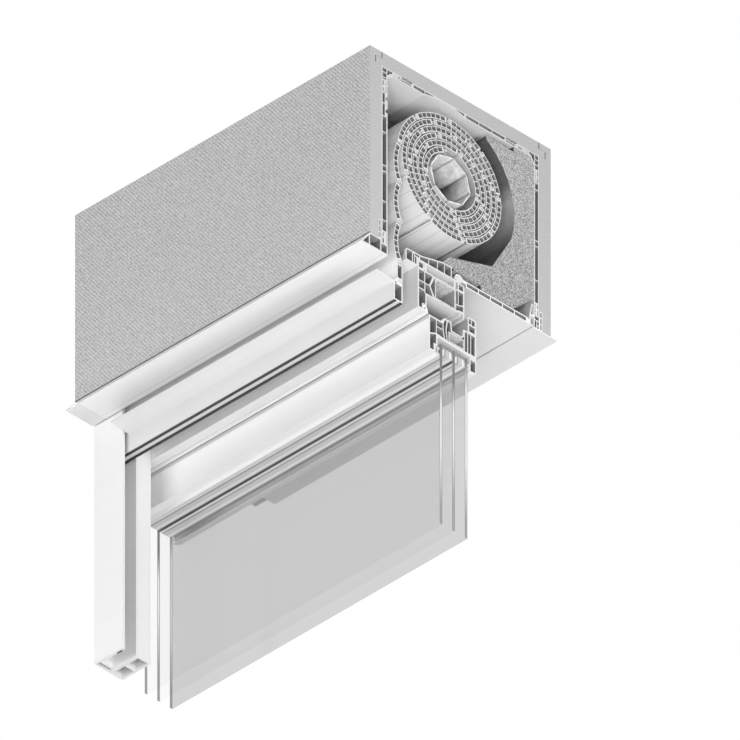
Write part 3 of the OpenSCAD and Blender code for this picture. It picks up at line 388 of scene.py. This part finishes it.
def spacer_bar(name, *gaps):
    """Aluminium spacers between panes, each gap given by its two ends along Y. They are satin, with a row of
    pale desiccant holes by each pane, a dark line beside one row, and dark sealant against the panes."""
    m = Paint(name)
    y = m.at(Y)
    satin = m.vary(m.noise(1.0, 3.0, m.stretched(30, 700, 700)), 0.03)
    v = m.add(satin, 0.565)
    dash = m.above(m.math("FRACT", m.times(m.at(X), 1 / HOLE_PITCH)), 0.42)
    for y0, y1 in gaps:
        rows = m.add(m.near(y, y1 - 0.0033, 0.0026), m.near(y, y0 + 0.0016, 0.0016))
        v = m.mix(m.times(rows, dash), v, 0.86)
        v = m.mix(m.near(y, y0 + 0.0044, 0.0017), v, 0.3)
    m.grey(m.mix(m.above(m.size(m.tilt(Y)), 0.6), v, 0.24))
    m.set("Roughness", 0.5)
    m.set("Metallic", 0.15)
    m.bump(satin, 0.2, 0.0003)
    return m.material


def steel(name, level, rough, metallic=0.85, mottle=0.03, marks_and_shade=None):
    """Zinc-coated or plain steel: brushed along the window, and mottled."""
    m = Paint(name)
    brushed = m.noise(1.0, 3.0, m.stretched(6, 900, 900))
    spangle = m.ramp(m.noise(160.0, 4.0), 0.25, 0.75, level - mottle, level + mottle)
    face = m.add(m.vary(brushed, 0.04), spangle)
    if marks_and_shade:
        face = marks_and_shade(m, face)
    m.grey(face)
    m.set("Roughness", m.ramp(brushed, 0.2, 0.8, rough - 0.08, rough + 0.1))
    m.set("Metallic", metallic)
    m.bump(brushed, 0.15, 0.0003)
    return m.material


def shaft_painted_shade(m, face):
    """The roller tube has dark bend lines painted as shade where its flats meet. Shade is painted on it with
    depth behind the cut, most of all above its axis on walls that don't look to the front, and near the cut
    it is painted lighter than its level, as light."""
    turn = m.around_axis()[2]
    v = m.times(face, m.ramp(m.from_line(turn, BEND_STEP, BEND_AT), 0.02, 0.09, 0.5, 1.0))
    x = m.at(X)
    front = m.curve(x, (0.19, 0.45), (0.204, 0.95), (0.213, 1.08), (0.235, 1.15))
    high = m.curve(x, (0.19, 0.17), (0.205, 0.24), (0.214, 0.38), (0.224, 0.75), (0.235, 1.05))
    low = m.curve(x, (0.19, 0.45), (0.21, 1.05), (0.22, 1.15))
    others = m.mix(m.ramp(m.at(Z), AXIS_Z, AXIS_Z + 0.016), low, high)
    return m.times(v, m.mix(m.front(), front, others))


def tube_stipple_and_shade(m, face):
    """Galvanised reinforcement is stippled, and painted duller on the walls that look to the front, as shade.
    """
    v = m.add(face, m.vary(m.noise(620.0, 3.0), 0.3, 0.25, 0.75))
    return m.mix(m.front(), v, m.times(v, 0.58))


def moulded(name, level, rough=0.5):
    """Injection-moulded plastic or paint with a fine grain."""
    m = Paint(name)
    grain = m.noise(700.0)
    m.grey(m.add(m.vary(m.noise(14.0), 0.02), m.ramp(grain, 0.3, 0.7, level - 0.02, level + 0.02)))
    m.set("Roughness", m.ramp(grain, 0.2, 0.8, rough - 0.1, rough + 0.1))
    m.bump(grain, 0.25, 0.0004)
    return m.material


def glass(name, y0, y1, hold, highlight_heights):
    """A clear pane from y0 to y1 that holds back the given share at each face. Its cut edge is painted dark
    along both faces, with a painted highlight between them, strongest between the two given heights."""
    m = Paint(name)
    lo, hi = highlight_heights
    painted_highlight = m.curve(m.at(Z), (lo - 0.08, 0.32), (lo, 0.92), (hi, 0.92), (hi + 0.04, 0.16))
    off_middle = m.size(m.subtract(m.at(Y), (y0 + y1) / 2))
    edge = m.mix(m.ramp(off_middle, 0.12 * (y1 - y0), 0.42 * (y1 - y0)), painted_highlight, 0.2)
    smear = m.ramp(m.noise(12.0, 3.0), 0.3, 0.7, 0.1, 0.12)
    m.grey(m.mix(m.cut(), smear, edge))
    m.set("Roughness", 0.06)
    m.set("Specular IOR Level", 0.5)
    clear = m.new("ShaderNodeBsdfTransparent")
    mixer = m.new("ShaderNodeMixShader")
    m.link(m.mix(m.cut(), hold, 0.97), mixer.inputs[0])
    m.link(clear.outputs[0], mixer.inputs[1])
    m.link(m.shader.outputs[0], mixer.inputs[2])
    m.link(mixer.outputs[0], m.output.inputs[0])
    return m.material


def sash_painted_shade(m, face):
    """The sash's front is painted paler upwards to its top, where a grey line is painted as the shadow of the
    overlap. Its underside and its lower rounding are painted duller, as shade."""
    height = m.at(Z)
    front = m.front()
    v = m.add(face, m.times(front, m.ramp(height, -0.371, -0.335, -0.085, 0.025)))
    v = m.subtract(v, m.times(m.underside(), 0.07))
    rounding = m.math("MAXIMUM", m.times(m.tilt(Y), m.tilt(Z)), 0.0)
    v = m.times(v, m.ramp(rounding, 0.0, 0.5, 1.0, 0.78))
    return m.mix(m.times(front, m.above(height, OVERLAP_Z)), v, 0.60)


def bar_painted_shade(m, face):
    """The end bar's front is painted a little greyer than its underside as shade, most at its upper edge."""
    return m.subtract(face, m.times(m.front(), m.ramp(m.at(Z), -0.332, -0.307, 0.02, 0.12)))


def ceiling_painted_shade(m, face):
    """The ceiling over the roll is painted duller with depth behind the cut, as shade."""
    return m.times(face, m.curve(m.at(X), (0.17, 0.6), (0.195, 0.8), (0.218, 1.0)))


def frame_painted_shade(m, face):
    """The head's underside is painted duller as shade, and so is its rebate over the sash with depth behind
    the cut.
    """
    underside = m.underside()
    rebate = m.times(underside, m.near(m.at(Z), REBATE_Z, 0.004))
    dull = m.curve(m.at(X), (0.205, 0.3), (0.213, 0.38), (0.224, 0.8), (0.232, 1.0))
    return m.mix(rebate, m.subtract(face, m.times(underside, 0.07)), m.times(face, dull))


def cover_painted_shadow(m, face):
    """The cover is painted duller along the window's head, as the head's shadow."""
    return m.times(face, m.curve(m.at(Y), (0.02, 0.76), (0.045, 0.94), (0.07, 1.0)))


def outer_turn_ribs_and_shade(m, face):
    """The outermost turn is painted dull inside, as shade between the turns. Outside it has fine ribs whose
    grooves are painted dark as their shade, and it is painted duller with depth behind the cut, as shade.
    """
    behind, over, turn = m.around_axis()
    outwards = m.add(m.times(behind, m.tilt(Y)), m.times(over, m.tilt(Z)))
    rib = m.below(m.from_line(turn, RIB_STEP, RIB_AT), 0.02)
    depth = m.curve(m.at(X), (0.165, 0.4), (0.18, 0.7), (0.196, 1.0))
    outside = m.times(m.mix(rib, face, m.times(face, 0.68)), depth)
    return m.mix(m.above(outwards, 0.0), 0.34, outside)


def nosing_marks(m, face):
    """A fine groove runs along the nosing's underside near its rear edge."""
    groove = m.times(m.underside(), m.near(m.at(Y), GROOVE_Y, GROOVE_WIDTH))
    return m.subtract(face, m.times(groove, 0.12))


put(plaster_panel(), "front_shell", "top_shell", "rear_shell")
put(foam(), "insulation_block")
put(rubber("seal_grey", 0.36), "lip_seal", "overlap_gasket")
put(rubber("pale_seal", 0.76), "frame_gasket")
put(rubber("seal_black", 0.025), "end_bar_seals", "rail_brushes")
put(rubber("edge_sealant", 0.2, 0.5), "edge_seal")
put(glazing_seal("glazing_seal_outer", 0.66, 0.62), "glazing_gasket_outer")
put(glazing_seal("glazing_seal_inner", 0.74, 0.74), "glazing_gasket_inner")
put(steel("shaft_steel", 0.79, 0.5, 0.15, 0.18, shaft_painted_shade), "octagon_shaft")
put(steel("reinforcement_steel", 0.7, 0.6, 0.1, 0.04, tube_stipple_and_shade), "frame_reinforcement",
    "sash_reinforcement")
put(steel("zinc_steel", 0.66, 0.5, 0.15, 0.1), "suspension_straps", "motor_bracket")
put(steel("hinge_steel", 0.62, 0.3), "stay_hinge", "frame_hinge", "hinge_pin", "adapter_screws",
    "end_cap_screws")
put(moulded("cap_plastic", 0.72), "end_cap")
put(moulded("motor_paint", 0.66, 0.35), "motor")
put(moulded("wheel_plastic", 0.05), "shaft_crown", "drive_wheel")

# Each pane's hold and the two heights of its painted edge highlight. The inner pane carries the coating, so
# it is the greyest.
panes = {
    "glass_outer": (0.032, (-0.50, -0.44)),
    "glass_middle": (0.032, (-0.48, -0.44)),
    "glass_inner": (0.235, (-0.50, -0.40)),
}
pane_ends = []
for n, (hold, highlight_heights) in panes.items():
    lo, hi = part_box(n)
    pane_ends.append((lo.y, hi.y))
    put(glass(n + "_pane", lo.y, hi.y, hold, highlight_heights), n)
    # Daylight passes the panes, so that what lies behind all three isn't black.
    nodes[n].visible_shadow = False
    nodes[n].visible_diffuse = False
gaps = [(a[1], b[0]) for a, b in zip(pane_ends, pane_ends[1:])]
put(spacer_bar("spacer_aluminium", *gaps), "pane_spacers")


# Hollow profiles: the outside faces have one material, and the faces in closed chambers a darker one, which
# paints the shade inside them.
# A face is in a chamber where the profile is within reach, in metres, in every direction across the window.
PROFILE_REACH = 0.09
SLAT_REACH = 0.03


def two_tone(name, outside, inside, reach):
    """Gives the faces that lie inside a profile's closed chambers a material of their own, which paints their
    shade.
    """
    piece = nodes[name]
    mesh = piece.data
    mesh.materials.clear()
    mesh.materials.append(outside)
    mesh.materials.append(inside)
    tree = BVHTree.FromObject(piece, bpy.context.evaluated_depsgraph_get())
    angles = [math.radians(a) for a in range(0, 360, 30)]
    directions = [Vector((0, math.cos(a), math.sin(a))) for a in angles]
    for face in mesh.polygons:
        if abs(face.normal.x) > 0.5:
            continue
        start = face.center + face.normal * 0.0004
        if all(tree.ray_cast(start, d, reach)[0] is not None for d in directions):
            face.material_index = 1


# Each outside material, then its pieces
profiles = (
    (upvc("white_upvc", 0.80, 0.80), "base_adapter", "glazing_bead", "guide_rail", "rail_spacer"),
    (upvc("wall_upvc", 0.80, 0.74), "front_wall_profile", "rear_wall_profile", "corner_profile_front_top",
     "corner_profile_rear_top"),
    # The ceiling's lower level is painted shade.
    (upvc("ceiling_upvc", 0.73, 0.74, marks_and_shade=ceiling_painted_shade), "top_wall_profile"),
    (upvc("frame_upvc", 0.80, 0.78, marks_and_shade=frame_painted_shade), "frame_head"),
    (upvc("sash_upvc", 0.80, 0.80, marks_and_shade=sash_painted_shade), "sash_head"),
    # The cover's lower level, and the flange's with it, is painted shade.
    (upvc("cover_upvc", 0.74, 0.93, marks_and_shade=cover_painted_shadow), "inspection_cover", "corner_profile_rear_bottom"),
    (upvc("nosing_upvc", 0.82, 0.80, marks_and_shade=nosing_marks), "plaster_nosing"),
    (upvc("end_bar_coat", 0.70, 0.88, 0.34, bar_painted_shade), "end_bar"),
)
# The slats are one white plastic. The wound turns' low levels are painted shade for the gaps between turns,
# and the outermost turn's higher level is painted light.
slats = (
    (upvc("slat_plastic", 0.82, 0.78, 0.36), "hanging_slats", "end_bar_slat"),
    (upvc("wound_slat_gap_shade", 0.36, 0.78, 0.36), "rolled_slats_2", "rolled_slats_3"),
    (upvc("inner_turn_gap_shade", 0.56, 0.78, 0.36), "rolled_slats_4"),
    (upvc("outer_turn_lit_plastic", 0.92, 0.78, 0.36, outer_turn_ribs_and_shade), "leading_slat", "rolled_slats_1"),
)
profile_chamber_shade = chamber_shade("profile_chamber_shade", 0.29, 0.17)
slat_chamber_shade = chamber_shade("slat_chamber_shade", 0.28, 0.18)
for outside, *names in profiles:
    for n in names:
        two_tone(n, outside, profile_chamber_shade, PROFILE_REACH)
for outside, *names in slats:
    for n in names:
        two_tone(n, outside, slat_chamber_shade, SLAT_REACH)


# Stage, light and camera
FLOOR_HALF = 6.0
FLOOR_Z = -2.6

floor_mesh = bpy.data.meshes.new("floor")
corners = [(FLOOR_HALF * x, FLOOR_HALF * y, FLOOR_Z) for x, y in ((-1, -1), (1, -1), (1, 1), (-1, 1))]
floor_mesh.from_pydata(corners, [], [(0, 1, 2, 3)])
floor = bpy.data.objects.new("floor", floor_mesh)
scene.collection.objects.link(floor)
paper = Paint("floor_paper")
paper.grey(paper.ramp(paper.noise(2.0), 0.3, 0.7, 0.84, 0.86))
paper.set("Roughness", 0.9)
paper.set("Emission Color", (1, 1, 1, 1))
paper.set("Emission Strength", paper.times(paper.seen(), 0.5))
floor_mesh.materials.append(paper.material)
floor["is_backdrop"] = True


def background(tree, strength):
    node = tree.new("ShaderNodeBackground")
    node.inputs["Color"].default_value = (1, 1, 1, 1)
    node.inputs["Strength"].default_value = strength
    return node.outputs[0]


world = bpy.data.worlds.new("soft_studio")
scene.world = world
sky = Nodes(world)
mixer = sky.new("ShaderNodeMixShader")
sky.link(sky.seen(), mixer.inputs[0])
sky.link(background(sky, 0.36), mixer.inputs[1])
sky.link(background(sky, 1.0), mixer.inputs[2])
sky.link(mixer.outputs[0], sky.new("ShaderNodeOutputWorld").inputs[0])

# Where every lamp points
MIDDLE = Vector((0.0, 0.0, -0.25))


def lamp(name, place, size, power):
    """A square lamp of soft light, its size in metres and its power in watts."""
    light = bpy.data.lights.new(name, "AREA")
    light.shape = "SQUARE"
    light.size = size
    light.energy = power
    stand = bpy.data.objects.new(name, light)
    stand.location = place
    stand.rotation_mode = "QUATERNION"
    stand.rotation_quaternion = (MIDDLE - Vector(place)).to_track_quat("-Z", "Y")
    stand.visible_camera = False
    scene.collection.objects.link(stand)


lamp("key", (1.7, -1.7, -2.1), 1.3, 37.0)
lamp("front", (-0.6, -2.4, -0.8), 1.2, 29.0)
lamp("side", (2.6, 0.2, -1.5), 1.0, 36.0)
lamp("rear", (-1.35, 1.35, 1.1), 1.3, 45.0)

# The camera looks up from the front right, along the drawing's own axonometric direction. The box's top front
# corner at the cut is in the middle column of the square picture, in the given row.
PICTURE = 740
CORNER_ROW = 45
VIEW_WIDTH = 0.8338
VIEW_AZIMUTH = math.radians(45)
VIEW_HEIGHT = math.radians(-35.264)
VIEW_DISTANCE = 1.15

flat = math.cos(VIEW_HEIGHT)
back = Vector((math.sin(VIEW_AZIMUTH) * flat, -math.cos(VIEW_AZIMUTH) * flat, math.sin(VIEW_HEIGHT)))
turned = (-back).to_track_quat("-Z", "Y")
up = turned @ Vector((0, 1, 0))
corner = Vector((CUT_X, -0.144, 0.0))
pixel = VIEW_WIDTH / PICTURE
centre = corner - up * ((PICTURE / 2 - CORNER_ROW) * pixel)
lens = bpy.data.cameras.new("camera")
lens.type = "ORTHO"
lens.ortho_scale = VIEW_WIDTH
lens.clip_start = 0.01
lens.clip_end = 10
camera = bpy.data.objects.new("camera", lens)
camera.location = centre + back * VIEW_DISTANCE
camera.rotation_mode = "QUATERNION"
camera.rotation_quaternion = turned
scene.collection.objects.link(camera)
scene.camera = camera
scene.view_settings.view_transform = "Standard"

lo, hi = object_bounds()
